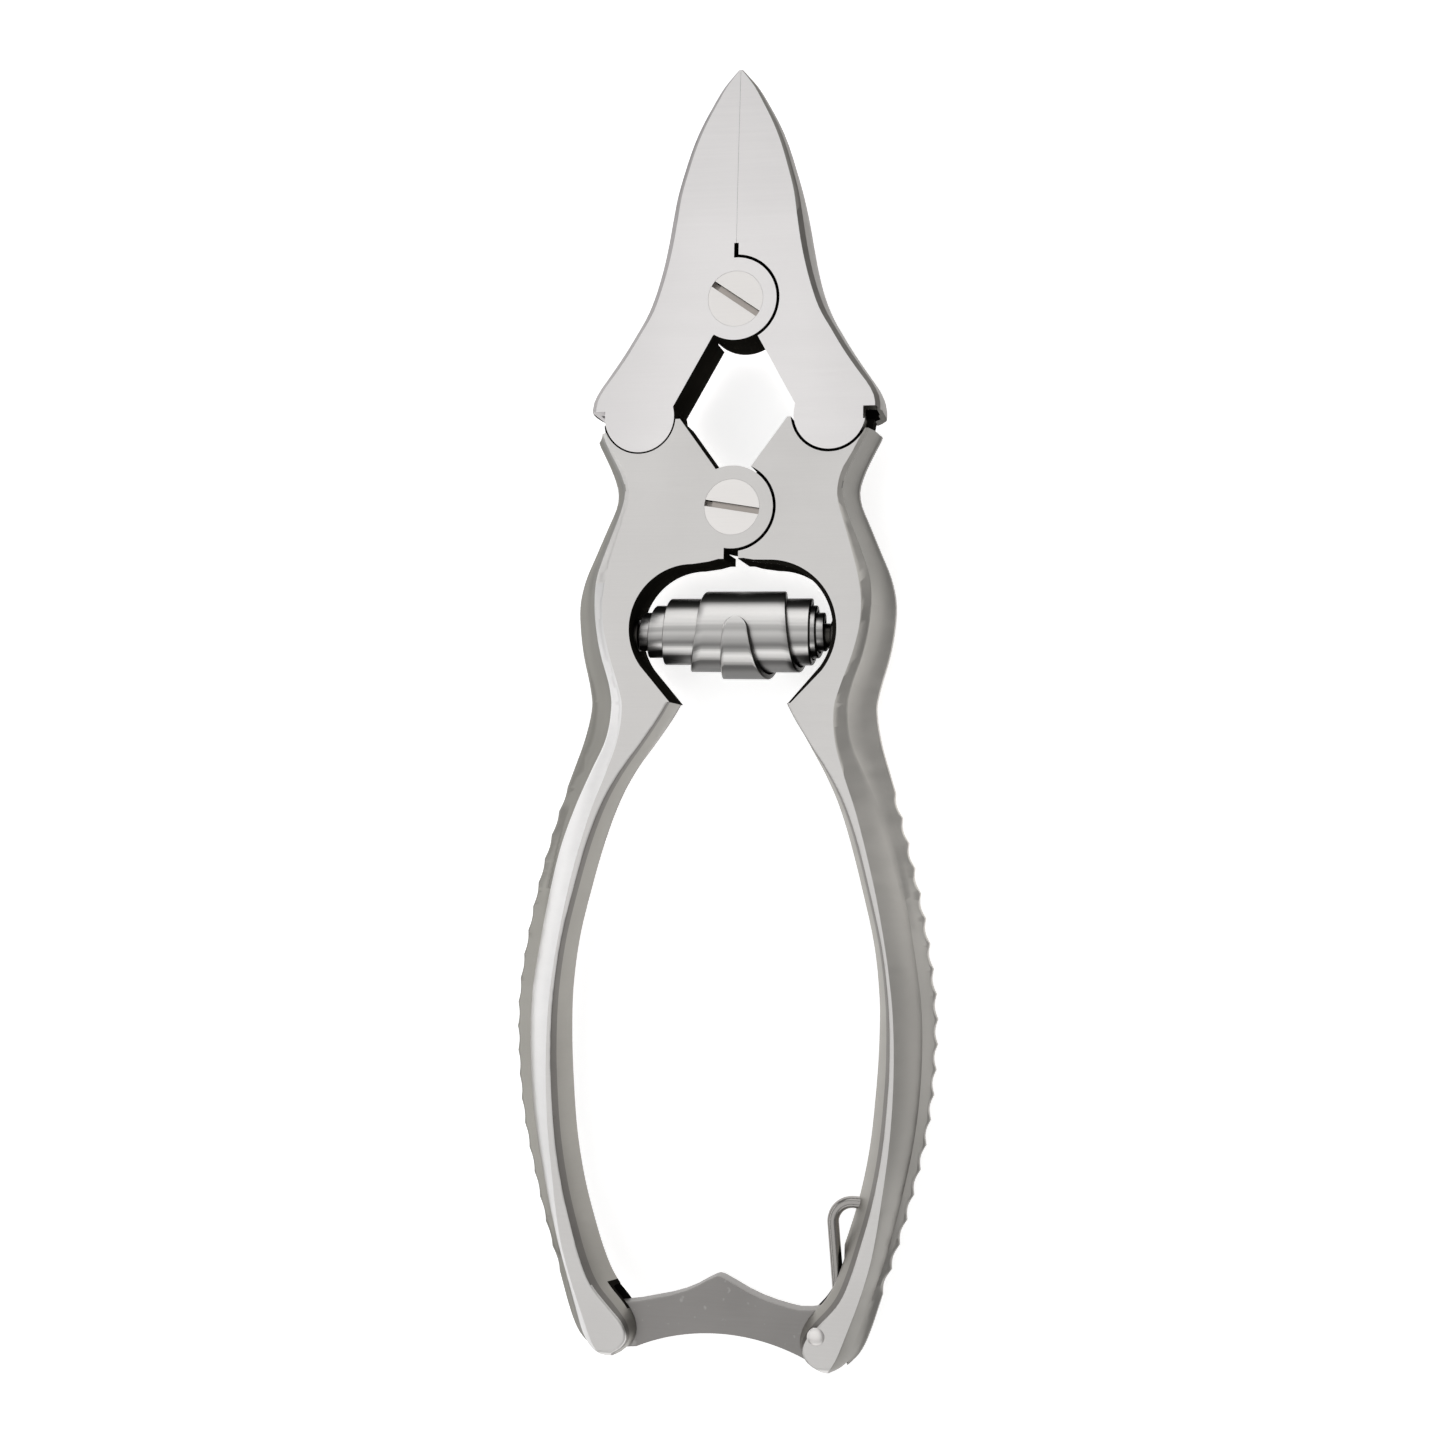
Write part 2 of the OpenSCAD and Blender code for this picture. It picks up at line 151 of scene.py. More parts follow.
def circle(cx, cy, r, steps=96):
    return arc(cx, cy, r, 0, 360 * (steps - 1) / steps, steps - 1)


def apply_modifiers(obj):
    graph = bpy.context.evaluated_depsgraph_get()
    mesh = bpy.data.meshes.new_from_object(obj.evaluated_get(graph))
    obj.modifiers.clear()
    old = obj.data
    obj.data = mesh
    bpy.data.meshes.remove(old)


def boolean(obj, tool, operation):
    """Joins a tool to a solid or takes it away, and uses the tool up."""
    modifier = obj.modifiers.new("cut", "BOOLEAN")
    modifier.object = tool
    modifier.operation = operation
    modifier.solver = "EXACT"
    apply_modifiers(obj)
    old = tool.data
    bpy.data.objects.remove(tool)
    bpy.data.meshes.remove(old)


def cut(obj, *tools):
    for tool in tools:
        boolean(obj, tool, "DIFFERENCE")


def add(obj, *tools):
    for tool in tools:
        boolean(obj, tool, "UNION")


def hole(obj, place, r, steps, reach=FAR):
    """A round hole right through."""
    cut(obj, prism(circle(*place, r, steps), -reach, reach))


def mirror_x(obj):
    obj.data.transform(Matrix.Scale(-1, 4, (1, 0, 0)))
    obj.data.flip_normals()


SAME_POINT = 0.004 * MM                          # points closer than this are one point
SHORT_EDGE = 0.03 * MM                           # edges shorter than this go, once the flat faces are whole
FLAT_ANGLE = math.radians(0.4)                   # faces that meet at less than this are one face
BEVEL_STEPS = 2


def dress(obj, edge, angle=30):
    """Cleans a cut solid, rounds the edges that are sharper than angle and shades it."""
    bm = bmesh.new()
    bm.from_mesh(obj.data)
    bmesh.ops.remove_doubles(bm, verts=bm.verts, dist=SAME_POINT)
    bmesh.ops.dissolve_limit(bm, angle_limit=FLAT_ANGLE, verts=bm.verts, edges=bm.edges)
    bmesh.ops.remove_doubles(bm, verts=bm.verts, dist=SHORT_EDGE)
    bmesh.ops.recalc_face_normals(bm, faces=bm.faces)
    bm.to_mesh(obj.data)
    bm.free()
    if edge:
        bevel = obj.modifiers.new("edges", "BEVEL")
        bevel.width = edge * MM
        bevel.segments = BEVEL_STEPS
        bevel.limit_method = "ANGLE"
        bevel.angle_limit = math.radians(angle)
        bevel.harden_normals = False
        bevel.use_clamp_overlap = True
        bevel.miter_outer = "MITER_ARC"
        apply_modifiers(obj)
    shade(obj, angle)
    return obj


def shade(obj, angle):
    """Smooth shading that stops at edges sharper than angle."""
    mesh = obj.data
    mesh.shade_smooth()
    limit = math.cos(math.radians(angle))
    bm = bmesh.new()
    bm.from_mesh(mesh)
    for e in bm.edges:
        if len(e.link_faces) == 2:
            e.smooth = e.link_faces[0].normal.dot(e.link_faces[1].normal) > limit
    bm.to_mesh(mesh)
    bm.free()
    weighted = obj.modifiers.new("weighted", "WEIGHTED_NORMAL")
    weighted.keep_sharp = True
    weighted.weight = 80


# ---------------------------------------------------------------- smooth tables
def slopes(table, k):
    """How fast each column changes at row k."""
    a, b = max(k - 1, 0), min(k + 1, len(table) - 1)
    step = table[b][0] - table[a][0]
    return [(q - p) / step for p, q in zip(table[a], table[b])]


def at(table, y):
    """Smooth reading of a table whose first column falls from row to row."""
    k = 0
    while k < len(table) - 2 and y < table[k + 1][0]:
        k += 1
    a, b = table[k], table[k + 1]
    h = b[0] - a[0]
    t = (y - a[0]) / h
    ma, mb = slopes(table, k), slopes(table, k + 1)
    return [p * (2 * t ** 3 - 3 * t * t + 1) + u * h * (t ** 3 - 2 * t * t + t)
            + q * (3 * t * t - 2 * t ** 3) + v * h * (t ** 3 - t * t) for p, q, u, v in zip(a, b, ma, mb)]


# Outer side of a handle: y, silhouette, crisp line, height of the crisp line, crease of the flat
OUTER = [
    (10.6, 17.7, 16.3, 3.5, 15.7), (8.7, 17.39, 15.9, 3.5, 15.3), (6.3, 16.22, 14.75, 3.45, 14.2),
    (4.4, 15.35, 13.75, 3.4, 13.1), (2.4, 14.76, 13.1, 3.4, 12.55), (0.6, 14.95, 13.3, 3.4, 12.6),
    (-1.8, 15.95, 14.1, 3.35, 13.3), (-5.0, 17.3, 15.35, 3.3, 14.25), (-8.2, 18.63, 16.4, 3.3, 15.1),
    (-11.2, 19.27, 16.65, 3.25, 15.5), (-14.3, 19.15, 16.4, 3.2, 15.3), (-17.6, 18.62, 15.7, 3.15, 14.5),
    (-21.0, 17.75, 14.6, 3.05, 13.35), (-23.6, 17.36, 14.2, 2.95, 12.7), (-27.5, 18.05, 14.75, 2.7, 13.0),
    (-31.4, 19.3, 16.5, 2.3, 14.2), (-35.6, 20.7, 18.4, 1.7, 15.75), (-40.2, 22.0, 20.1, 1.2, 17.1),
    (-45.0, 23.22, 21.3, 0.95, 18.3), (-51.2, 24.44, 22.5, 0.8, 19.5), (-58.3, 25.36, 23.5, 0.75, 20.45),
    (-65.4, 25.29, 23.6, 0.65, 20.7), (-72.5, 24.52, 23.0, 0.6, 20.4), (-79.5, 22.99, 21.7, 0.6, 19.6),
    (-86.5, 21.1, 20.0, 0.7, 18.5), (-91.2, 19.55, 18.5, 1.0, 17.2), (-95.9, 18.05, 16.9, 1.4, 15.5),
    (-98.2, 17.0, 15.9, 1.9, 14.6), (-99.6, 15.75, 14.8, 2.2, 13.8), (-100.4, 14.7, 13.8, 1.4, 13.3),
    (-100.85, 13.6, 13.3, 0.5, 13.1)]

# Inner side of a grip: y, front edge, bulge at mid thickness, height of the front edge
INNER = [
    (-23.1, 7.1, 0.05, 3.8), (-24.9, 8.1, 0.2, 3.8), (-28.0, 10.15, 0.55, 3.8), (-31.4, 12.5, 0.9, 3.8),
    (-34.8, 14.35, 1.1, 3.8), (-39.2, 16.0, 1.2, 3.8), (-45.0, 17.6, 1.2, 3.8), (-51.3, 19.05, 1.2, 3.8),
    (-57.3, 19.85, 1.3, 3.8), (-62.5, 20.1, 1.5, 3.8), (-67.6, 20.0, 1.65, 3.8), (-74.5, 19.4, 1.7, 3.8),
    (-80.3, 18.4, 1.8, 3.8), (-85.3, 17.1, 1.95, 3.8), (-90.0, 15.6, 2.1, 3.8), (-92.2, 14.5, 2.2, 3.8),
    (-94.4, 12.6, 2.1, 3.8), (-96.2, 11.05, 1.25, 3.8), (-97.9, 10.6, 0.8, 3.8), (-99.0, 11.3, 1.0, 3.8),
    (-99.7, 12.3, 1.4, 3.6), (-100.45, 12.75, 1.0, 1.9), (-100.85, 12.9, 0.5, 0.6)]

# One jaw: y, silhouette, front edge of the side bevel, front height, back height
JAW = [
    (52.6, 0.28, 0.12, 3.0, 2.0), (51.75, 1.05, 0.78, 3.05, 1.9), (50.4, 2.2, 1.75, 3.12, 1.7),
    (48.0, 3.65, 3.05, 3.25, 1.35), (45.75, 4.85, 4.15, 3.38, 1.0), (43.35, 5.85, 5.1, 3.5, 0.65),
    (40.4, 6.8, 6.0, 3.62, 0.1), (37.55, 7.6, 6.75, 3.72, -1.2), (34.6, 8.2, 7.2, 3.78, -2.8),
    (31.75, 8.68, 7.65, 3.8, -3.6), (28.7, 9.3, 8.3, 3.8, -3.8), (25.7, 10.15, 9.15, 3.8, -3.8),
    (23.2, 11.15, 10.1, 3.8, -3.8), (20.8, 12.5, 11.5, 3.8, -3.8), (18.4, 14.0, 12.95, 3.8, -3.8),
    (16.0, 15.65, 14.6, 3.8, -3.8), (14.1, 16.95, 16.0, 3.8, -3.8), (12.6, 17.6, 16.7, 3.8, -3.8),
    (10.4, 17.75, 16.8, 3.8, -3.8)]

SCALLOP_TOP = -33.4
SCALLOPS = 20
SCALLOP_PITCH = 2.9
SCALLOP_STEPS = 8                                # sections to one scallop


def ease(t):
    """A soft step from 0 to 1."""
    t = min(max(t, 0), 1)
    return t * t * (3 - 2 * t)


def lean_x(y, outward):
    """Sideways lean of a grip at height y; outward is 0 at the inner edge and 1 at the outer."""
    fade = FADE * ease((FADE_TOP - y) / FADE_RUN)
    return GRIP_LEAN * ease((LEAN_TOP - y) / LEAN_RUN) * (1 - fade * (1 - outward))


def scallop(y):
    """Depth of the row of finger scallops at height y, for scallops one unit deep."""
    t = (SCALLOP_TOP - y) / SCALLOP_PITCH
    return abs(math.sin(math.pi * t)) if 0 < t < SCALLOPS else 0


def handle_ring(y, depth):
    """One closed section across a handle, from the inner edge over the front to the outer edge and back."""
    _, s, b, hb, f = at(OUTER, y)
    grip = y < SPUR_Y + 0.05
    _, i, bulge, hf = at(INNER, y) if grip else (y, 0, 0, HT)
    hf = min(hf, HT)
    hb = min(hb, hf - 0.02)
    f = max(min(f, b - 0.12), i + 0.1)
    b = max(b, f + 0.05)
    dip = depth * scallop(y)
    crown = max(0, 1 - hb / 3.0) * 0.16                      # how much the broad bevel bulges
    turn = min(0.42, hf * 0.4) if grip else 0.12             # rounding of the inner edge
    full, low = min(bulge / 1.2, 1), hf / HT                 # both fall to nothing at the ends of the grip
    front = [(i - bulge - 0.02, 0), (i - bulge * 0.62, hf * 0.42), (i - bulge * 0.26, hf - low),
             (i - 0.03 * full, hf - 0.32 * low), (i + 0.1 * low, hf - 0.1 * low), (i + turn, hf),
             (max(f, i + turn + 0.05), hf)]
    f = front[-1][0]
    for t in (0.2, 0.4, 0.6, 0.8):
        swell = crown * math.sin(math.pi * t)
        front.append((f + (b - f) * t + swell * 0.6, hf + (hb - hf) * t + swell))
    fin = min(0.55, hb - 0.05)                               # half thickness of the fin near its edge
    front += [(b, hb - 0.01), (b + (s - b) * 0.42, fin + (hb - fin) * 0.3), (s - 0.36 - dip * 0.6, fin),
              (s - 0.1 - dip * 0.9, fin * 0.68), (s - dip, fin * 0.2)]
    back = [(x, -z) for x, z in reversed(front[1:])]
    return [(x, y, z) for x, z in front + back]


def handle_heights():
    """Heights of the sections down a handle: close together at the spur, over the scallops and at the end."""
    ys = [OUTER[0][0] - 0.85 * k for k in range(39)] + [-22.6, -23.04, SPUR_Y, -23.6]
    ys += [-24.2 - 0.8 * k for k in range(12)]
    ys = [y for y in ys if y > SCALLOP_TOP + 0.3]
    ys += [SCALLOP_TOP - SCALLOP_PITCH * k / SCALLOP_STEPS for k in range(SCALLOPS * SCALLOP_STEPS + 1)]
    end = SCALLOP_TOP - SCALLOPS * SCALLOP_PITCH
    ys += [end - 0.5 * k for k in range(1, 16)]
    ys += [-99.0, -99.3, -99.6, -99.9, -100.15, -100.4, -100.65, -100.85]
    return sorted(set(round(y, 4) for y in ys), reverse=True)


def lap_room(own, y, steps):
    """The room that one layer of a lap joint leaves for the other piece's lobe."""
    return prism(circle(0, y, LAP_R + LAP_GAP, steps), -FAR if own > 0 else -LAYER, LAYER if own > 0 else FAR)


def cavity_outline(r, start, end, top, right):
    """Right half of the spring cavity: an arc between the flat top near the middle line and the spur."""
    return [(-1, -6.15)] + top + arc(4.6, -14.35, r, start, end, 48) + [(right, SPUR_Y), (-1, SPUR_Y)]


def handle_blank(own, slot_x, slot_y, wire, socket, depth):
    """Right-hand handle body; own is +1 when its screw lobe is in the front layer.

    slot_x and slot_y are the side and the top of the latch slot, wire asks for the groove of the detent wire,
    socket is the room around the knuckle lobe and depth is the depth of the scallops.
    """
    rings = []
    for y in handle_heights():
        ring = handle_ring(y, depth)
        inner, outer = min(p[0] for p in ring), max(p[0] for p in ring)
        rings.append([(x + own * lean_x(y, (x - inner) / (outer - inner) if own > 0 else 1), y, z)
                      for x, y, z in ring])
    body = loft("blank", rings)
    cavity = cavity_outline(7.62, 90, -36.2, [(1.5, -6.15), (2.6, -6.45)], 7.1)
    above = [(-1, 0.4), (6.64, 10.84), (11.4, 10.84), (15.5, 9.1), (16.6, 9.1), (17.3, 8.6), (17.9, 7.5), (21, 7.0),
             (21, 16), (-1, 16)]
    notch = [(-1, -7), (0.87, -7), (0.87, -2), (-1, -2)]
    slot = [(4, slot_y), (12.9, slot_y), (slot_x, slot_y - 1.3), (slot_x, -97.6), (14.85, -98.6),
            (14.85, -106), (4, -106)]
    cut(body, prism(cavity, -FAR, FAR), prism(notch, -FAR, FAR), prism(above, -FAR, FAR),
        prism(circle(*KNUCKLE, KNUCKLE_R + socket), TONGUE, FAR),
        prism(circle(*KNUCKLE, KNUCKLE_R + socket), -FAR, -TONGUE),
        prism(circle(*KNUCKLE, TONGUE_R, 64), -FAR, FAR),
        lap_room(own, 0, 96),
        prism(slot, -TONGUE, TONGUE))
    if own < 0:
        rebate = cavity_outline(8.08, 88, -38, [(1.5, -6.05), (2.7, -6.25)], 7.4)
        cut(body, prism(rebate, HT - 0.12, FAR))
    if wire:
        groove = [(8, -84.4), (14.1, -84.4), (15.0, -92.6), (15.0, -94), (8, -94)]
        cut(body, prism(groove, -TONGUE, TONGUE))
    tongue = (arc(*KNUCKLE, KNUCKLE_R + 0.3, 184, 320, 30) + arc(*KNUCKLE, NUB_R, 320, 355, 12)
              + arc(*KNUCKLE, TONGUE_R, 355, 184, 36))
    add(body, prism(tongue, -TONGUE, TONGUE))
    return body


def lap_lobe(own, y=0):
    """The lobe around a screw, in the front layer when own is +1."""
    return prism(circle(0, y, LAP_R, 128), LAYER if own > 0 else -HT, HT if own > 0 else -LAYER)


FORGED = {"edge": 0.05, "angle": 32}             # edge rounding and shading of jaws and handles


def screw_seat(obj, y):
    """Cut after the edges are rounded, so that the flush head closes it with hardly a seam."""
    hole(obj, (0, y), SHANK_R + 0.06, 48)
    cut(obj, prism(circle(0, y, HEAD_R + 0.02), HT - HEAD_H - 0.04, FAR))
    shade(obj, FORGED["angle"])
    return obj


def threaded_hole(obj, y):
    hole(obj, (0, y), SHANK_R + 0.03, 48)


def make_handle(side):
    """side is -1 for the left handle, whose lobe is in front, and +1 for the right one."""
    own = -side
    if side < 0:
        body = handle_blank(own, slot_x=14.6, slot_y=-92.4, wire=False, socket=0.2, depth=0.2)
        body.name = "handle_left_steel"
        mirror_x(body)
        add(body, lap_lobe(own))
        return screw_seat(dress(body, **FORGED), 0)
    body = handle_blank(own, slot_x=15.15, slot_y=-91.3, wire=True, socket=0.34, depth=0.36)
    body.name = "handle_right_steel"
    add(body, lap_lobe(own))
    threaded_hole(body, 0)
    hole(body, LATCH, PIN_HOLE_R, 40)
    return dress(body, **FORGED)


def jaw_ring(y):
    """One closed section across a jaw, with a rounded side bevel."""
    _, s, a, zf, zb = at(JAW, y)
    mid = (zf + zb) / 2
    half = (zf - zb) / 2
    side = [(a, zf), (a + (s - a) * 0.62, mid + half * 0.88), (a + (s - a) * 0.9, mid + half * 0.45), (s, mid),
            (a + (s - a) * 0.9, mid - half * 0.45), (a + (s - a) * 0.62, mid - half * 0.88), (a, zb)]
    return [(0.012, y, zb), (0.012, y, zf)] + [(x, y, z) for x, z in side]


def jaw_blank(own):
    """Right-hand jaw body: shoulder, knuckle lobe with its groove, half of the lap joint, cutting edge."""
    ys = [52.6, 52.3, 52.0, 51.6, 51.1] + [50.6 - 0.82 * k for k in range(50)]
    foot_y = JAW[-1][0]
    body = loft("blank", [jaw_ring(y) for y in ys if y > foot_y] + [jaw_ring(foot_y)])
    if own > 0:
        foot = [(17.4, 11.66), (15.4, 11.66)]
    else:
        foot = [(17.85, 11.75), (17.5, 11.3), (16.3, 10.8), (15.5, 10.9)]
    keep = ([(-0.5, 60), (25, 60), (25, 12.6)] + foot
            + [(11.4, 10.9), (7.34, 12.1), (2.7, 20.4), (-0.5, 24)])
    boolean(body, prism(keep, -FAR, FAR), "INTERSECT")
    add(body, prism(circle(*KNUCKLE, KNUCKLE_R, 128), -HT, HT))
    groove = (arc(*KNUCKLE, NUB_R + 0.12, 172, 330, 40) + arc(*KNUCKLE, NUB_R + 0.42, 330, 376, 20)
              + arc(*KNUCKLE, TONGUE_R - 0.05, 376, 172, 50))
    cut(body, prism(groove, -TONGUE - 0.05, TONGUE + 0.05),
        lap_room(own, JAW_PIVOT, 128),
        prism([(-0.5, 25), (0.27, 25), (0.27, 31.46), (-0.5, 31.46)], -FAR, FAR))
    if own < 0:
        pocket = [(15.4, 10.2), (17.05, 10.2), (17.05, 11.5), (16.85, 11.68), (15.4, 11.68)]
        cut(body, prism(pocket, 0.9, FAR))
    # the blade is ground from behind
    cut(body, loft("tool", [[(-0.5, y, -HT - 0.5), (1.9, y, -HT - 0.5), (0.012, y, 0.5 * HT), (-0.5, y, 0.5 * HT)]
                            for y in (60, 32.4)]))
    return body


def make_jaw(side):
    """side is -1 for the left jaw, whose lobe is in front, and +1 for the right one."""
    own = -side
    body = jaw_blank(own)
    if side < 0:
        body.name = "jaw_left_steel"
        mirror_x(body)
        add(body, lap_lobe(own, JAW_PIVOT))
        return screw_seat(dress(body, **FORGED), JAW_PIVOT)
    body.name = "jaw_right_steel"
    add(body, lap_lobe(own, JAW_PIVOT))
    threaded_hole(body, JAW_PIVOT)
    return dress(body, **FORGED)


# ---------------------------------------------------------------- turned and bent pieces
def turned(name, profile, place, axis="Z", steps=96):
    """A solid of revolution from (radius, height) points, along Z or X through place (x, y)."""
    verts, faces = [], []
    n = len(profile)
    for k in range(steps):
        c, s = math.cos(2 * math.pi * k / steps), math.sin(2 * math.pi * k / steps)
        for r, h in profile:
            p = (r * c, r * s, h) if axis == "Z" else (h, r * c, r * s)
            verts.append((p[0] + place[0], p[1] + place[1], p[2]))
    for k in range(steps):
        for i in range(n - 1):
            a, b = k * n + i, ((k + 1) % steps) * n + i
            faces.append((a, b, b + 1, a + 1))
    obj = new_object(name, verts, faces)
    bm = bmesh.new()
    bm.from_mesh(obj.data)
    bmesh.ops.remove_doubles(bm, verts=bm.verts, dist=1e-7)
    bmesh.ops.recalc_face_normals(bm, faces=bm.faces)
    bm.to_mesh(obj.data)
    bm.free()
    return obj


def make_screw(name, y, angle):
    """Flush cheese head with a slot, on a shank that ends level with the back."""
    profile = [(0, -HT + 0.02), (SHANK_R - 0.25, -HT + 0.02), (SHANK_R, -HT + 0.2), (SHANK_R, HT - HEAD_H),
               (HEAD_R, HT - HEAD_H), (HEAD_R, HT - 0.01), (0, HT - 0.01)]
    obj = turned(name, profile, (0, y))
    c, s = math.cos(math.radians(angle)), math.sin(math.radians(angle))
    half_w = 0.375
    for left, right, depth in ((-4, 4, 0.5), (-4, -2.5, 1.2)):      # the slot is deepest at its left end
        corners = [(left, -half_w), (right, -half_w), (right, half_w), (left, half_w)]
        outline = [(x * c - v * s, y + x * s + v * c) for x, v in corners]
        cut(obj, prism(outline, HT - depth, FAR))
    return dress(obj, edge=0)


def make_latch_pin():
    """Pin with a domed head in front and a flatter dome at the back."""
    head, shank = 1.02, 0.95
    quarter = [math.radians(a) for a in range(0, 91, 15)]
    dome = [(head * math.cos(a), HT + 0.02 + 0.26 * math.sin(a)) for a in quarter]
    back = [(shank * math.cos(a), -HT - 0.12 * math.sin(a)) for a in reversed(quarter)]
    obj = turned("latch_pin_steel", back + [(shank, -HT + 0.1), (shank, HT - 0.1), (head, HT - 0.02)] + dome,
                 LATCH, steps=48)
    return dress(obj, edge=0)


def make_seat(name, side):
    """Spring seat: a collared pin that stands out of the cavity wall into the spring."""
    profile = [(0, 7.3), (1.2, 7.3), (1.5, 7.45), (1.5, 11.6), (1.9, 11.7), (1.9, 12.2), (1.6, 12.3), (1.6, 14.0),
               (0, 14.0)]
    obj = turned(name, [(r, side * h) for r, h in profile], (0, SPRING_Y), axis="X", steps=64)
    return dress(obj, edge=0.05, angle=40)


# Edges of the wound strip: turn in degrees from the front, left edge, right edge
STRIP = [(-17, -0.5, 2.5), (0, -0.55, 2.6), (45, -1.0, 3.3), (90, -1.5, 4.2), (180, -2.4, 5.2), (270, -3.5, 6.2),
         (360, -3.9, 7.1), (450, -5.4, 7.9), (540, -6.5, 8.6), (630, -7.8, 9.4), (720, -8.1, 9.5), (810, -8.6, 9.4),
         (990, -9.6, 10.0), (1170, -10.6, 10.2), (1350, -11.1, 10.9), (1530, -11.7, 11.1), (1620, -11.9, 11.2)]
STRIP_START, STRIP_END = STRIP[0][0], STRIP[-1][0]
STRIP_R = 5.72                                   # outer radius at the start
STRIP_PITCH = 0.84                               # how much the radius falls in one turn
STRIP_T = 0.58                                   # thickness
STRIP_CENTRE_Y = -14.66


def strip_edges(turn):
    """Left and right edge of the strip at a turn."""
    for (t0, l0, r0), (t1, l1, r1) in zip(STRIP, STRIP[1:]):
        if turn <= t1:
            k = (turn - t0) / (t1 - t0)
            return l0 + (l1 - l0) * k, r0 + (r1 - r0) * k
    return STRIP[-1][1:]


def make_spring():
    """One strip of spring steel wound into a barrel, its rounded end lying on the front."""
    turns = [STRIP_START + d for d in (0, 0.8, 2, 4, 6.5, 9.5, 13, 17)] + list(range(5, STRIP_END + 1, 5))
    rounding = ((0, 0.24), (0.035, 0.13), (0.09, 0.05), (0.17, 0.0))        # distance from the edge, drop
    rings = []
    for turn in turns:
        left, right = strip_edges(turn)
        if turn < 0:                                   # the rounded tongue
            spread = max(math.sqrt(1 - (turn / STRIP_START) ** 2), 0.12)
            centre = (left + right) / 2
            left, right = centre + (left - centre) * spread, centre + (right - centre) * spread
        outer = STRIP_R - STRIP_PITCH * (turn - STRIP_START) / 360
        a = math.radians(turn)
        shrink = min(1, (right - left) / 0.8)
        inset = [(d * shrink, drop) for d, drop in rounding]
        flat = inset[-1][0]
        top = [(left + d, drop) for d, drop in inset]
        top += [(left + flat + (right - left - 2 * flat) * k / 12, 0) for k in range(1, 12)]
        top += [(right - d, drop) for d, drop in reversed(inset)]
        ring = []
        for x, r in [(x, outer - drop) for x, drop in top] + [(x, outer - STRIP_T) for x, drop in reversed(top)]:
            ring.append((x, STRIP_CENTRE_Y - r * math.sin(a), r * math.cos(a)))
        rings.append(ring)
    obj = loft("barrel_spring_steel", rings)
    shade(obj, 38)
    return obj


def tube(name, path, r, sides=24):
    """A round wire along a path in the mid plane, with rounded ends."""
    rings = []
    n = len(path)
    for k, (x, y) in enumerate(path):
        a, b = path[max(k - 1, 0)], path[min(k + 1, n - 1)]
        d = Vector((b[0] - a[0], b[1] - a[1])).normalized()
        side = Vector((-d.y, d.x))
        radius = r * (0.55 if k in (0, n - 1) else 0.92 if k in (1, n - 2) else 1)      # two steps to a rounded end
        rings.append([(x + side.x * radius * math.cos(2 * math.pi * i / sides),
                       y + side.y * radius * math.cos(2 * math.pi * i / sides),
                       radius * math.sin(2 * math.pi * i / sides)) for i in range(sides)])
    obj = loft(name, rings)
    shade(obj, 50)
    return obj


def make_wire():
    """Bent detent wire: out of a hole in the handle, round a bend and down to the latch hub."""
    cx, cy, r = 15.2, -83.4, 2.3
    turn = 185.4
    bend = arc(cx, cy, r, 90, turn, 26)
    ex, ey = bend[-1]
    dx, dy = math.cos(math.radians(turn + 90)), math.sin(math.radians(turn + 90))
    run = [(ex + dx * d, ey + dy * d) for d in (1, 3, 5, 7, 8.6, 8.85, 9.0)]
    lead = [(18.3, cy + r), (18.1, cy + r), (17, cy + r), (16, cy + r)]
    return tube("latch_spring_wire", lead + bend + run, 0.7)


def latch_outline():
    """Outline of the latch bar, anticlockwise from its free end."""
    points = arc(-11.5, -97.0, 2.63, 95, 262, 26)
    points += arc(-0.05, -121.6, 24.4, 114.6, 65.4, 40)
    points += arc(*LATCH, 2.42, 285, 450, 26)
    points += [(10.6, -93.66)]
    right = [(9.2, -93.75), (7.9, -93.55), (6.3, -93.2), (4.6, -92.7), (3.0, -92.05), (1.5, -91.3), (0.3, -90.72)]
    peak = [(-0.1, -90.56), (-0.55, -90.5), (-1.0, -90.66)]
    left = [(-1.9, -91.15), (-3.2, -91.95), (-4.6, -92.6), (-6.2, -93.15), (-8.0, -93.6), (-10.0, -94.1)]
    return points + right + peak + left


def make_latch_bar():
    obj = prism(latch_outline(), -LATCH_HT, LATCH_HT, "latch_bar_steel")
    hole(obj, LATCH, PIN_HOLE_R, 40, reach=2)
    return dress(obj, edge=0.16, angle=40)


# ---------------------------------------------------------------- materials
COLOUR_A, COLOUR_B, COLOUR_OUT = 6, 7, 2         # sockets of a mix node that mixes colours
NUMBER_A, NUMBER_B, NUMBER_OUT = 2, 3, 0         # and of one that mixes numbers


def node(tree, kind, **values):
    """A new node, with each value set on the input of that name, or else on the node."""
    n = tree.nodes.new(kind)
    for key, value in values.items():
        if key in n.inputs:
            n.inputs[key].default_value = value
        else:
            setattr(n, key, value)
    return n


def grey(tone):
    return (tone, tone, tone)


def colour_ramp(tree, source, stops, interpolation="LINEAR"):
    """The colours of a ramp, from (position, colour) stops, read at the values of a socket."""
    ramp = node(tree, "ShaderNodeValToRGB")
    ramp.color_ramp.interpolation = interpolation
    marks = ramp.color_ramp.elements
    while len(marks) < len(stops):
        marks.new(0.5)
    for mark, (position, colour) in zip(marks, stops):
        mark.position = position
        mark.color = (*colour, 1)
    tree.links.new(source, ramp.inputs[0])
    return ramp.outputs[0]


def remap(tree, source, limits, results=(0, 1), **kind):
    """A socket's value carried from one pair of limits to another, and held there outside them."""
    span = node(tree, "ShaderNodeMapRange", **kind)
    for key, value in zip(("From Min", "From Max", "To Min", "To Max"), (*limits, *results)):
        span.inputs[key].default_value = value
    tree.links.new(source, span.inputs["Value"])
    return span.outputs[0]


